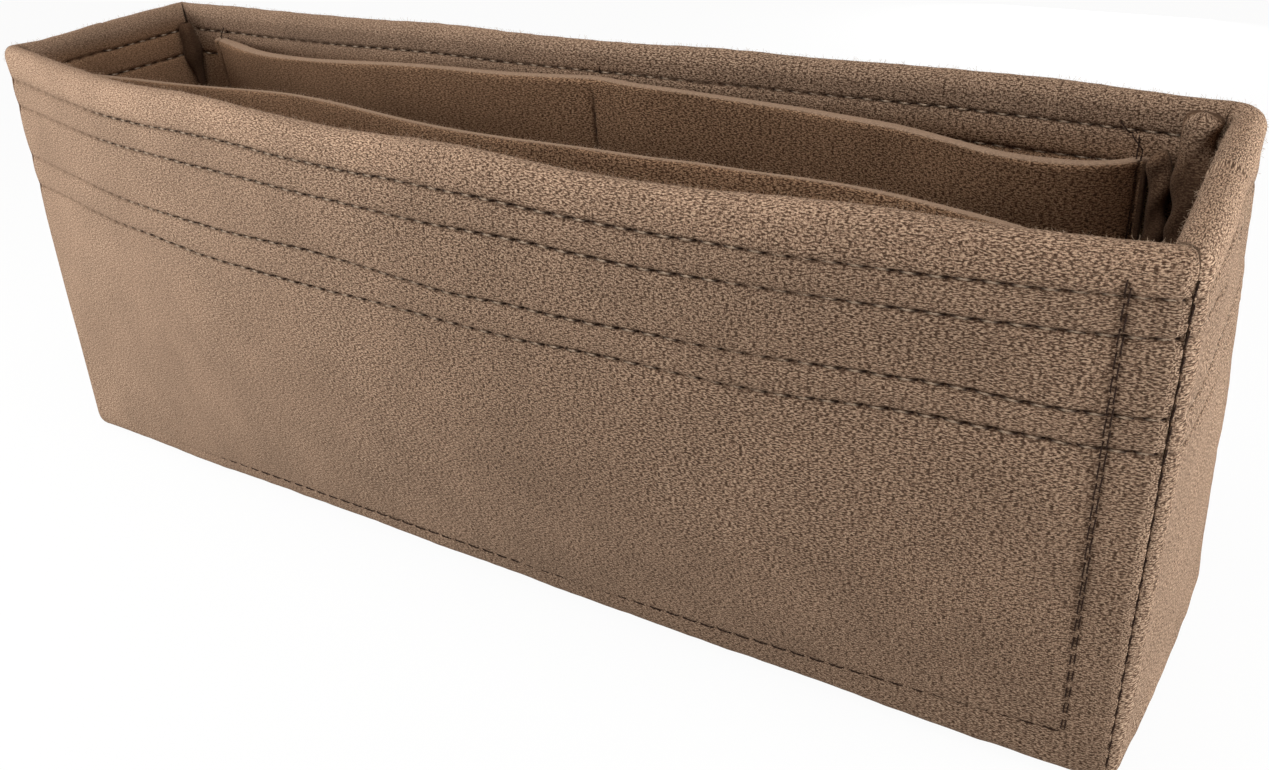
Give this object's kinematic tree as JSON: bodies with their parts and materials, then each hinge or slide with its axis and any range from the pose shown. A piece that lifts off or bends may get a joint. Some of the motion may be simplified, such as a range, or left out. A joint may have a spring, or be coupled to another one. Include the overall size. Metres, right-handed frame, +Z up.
{
  "type": "purse organizer insert",
  "caption": "Open-topped box of thick felt with folded stitched hems and slip pockets inside, which stands in a bag and keeps its contents apart.",
  "frame": {"origin": "centre of the underside of the object's bounding box, on the surface it stands on", "axes": "+X along the length, +Y from the long front wall to the back wall, +Z up"},
  "size_m": [0.2868, 0.0858, 0.106],
  "materials": {
    "felt": "taupe-brown needle felt, matt, with fine fibres lying along the length",
    "thread": "matt brown sewing thread, a shade darker than the felt"
  },
  "bodies": {
    "root": {"main_panel": "felt", "left_gusset": "felt", "right_gusset": "felt", "front_pocket_panel": "felt", "rear_pocket_panel": "felt", "front_hem_thread_1": "thread", "front_hem_thread_2": "thread", "front_hem_thread_3": "thread", "front_hem_thread_4": "thread", "back_hem_thread_1": "thread", "back_hem_thread_2": "thread", "back_hem_thread_3": "thread", "back_hem_thread_4": "thread", "left_hem_thread_1": "thread", "left_hem_thread_2": "thread", "left_hem_thread_3": "thread", "left_hem_thread_4": "thread", "right_hem_thread_1": "thread", "right_hem_thread_2": "thread", "right_hem_thread_3": "thread", "right_hem_thread_4": "thread", "front_left_corner_thread": "thread", "front_right_corner_thread": "thread", "back_left_corner_thread": "thread", "back_right_corner_thread": "thread", "left_base_thread": "thread", "right_base_thread": "thread", "front_pocket_left_thread": "thread", "front_pocket_right_thread": "thread", "rear_pocket_left_thread": "thread", "rear_pocket_right_thread": "thread", "front_pocket_floor_thread": "thread", "rear_pocket_floor_thread": "thread", "rear_pocket_divider_thread": "thread"}
  },
  "joints": []
}
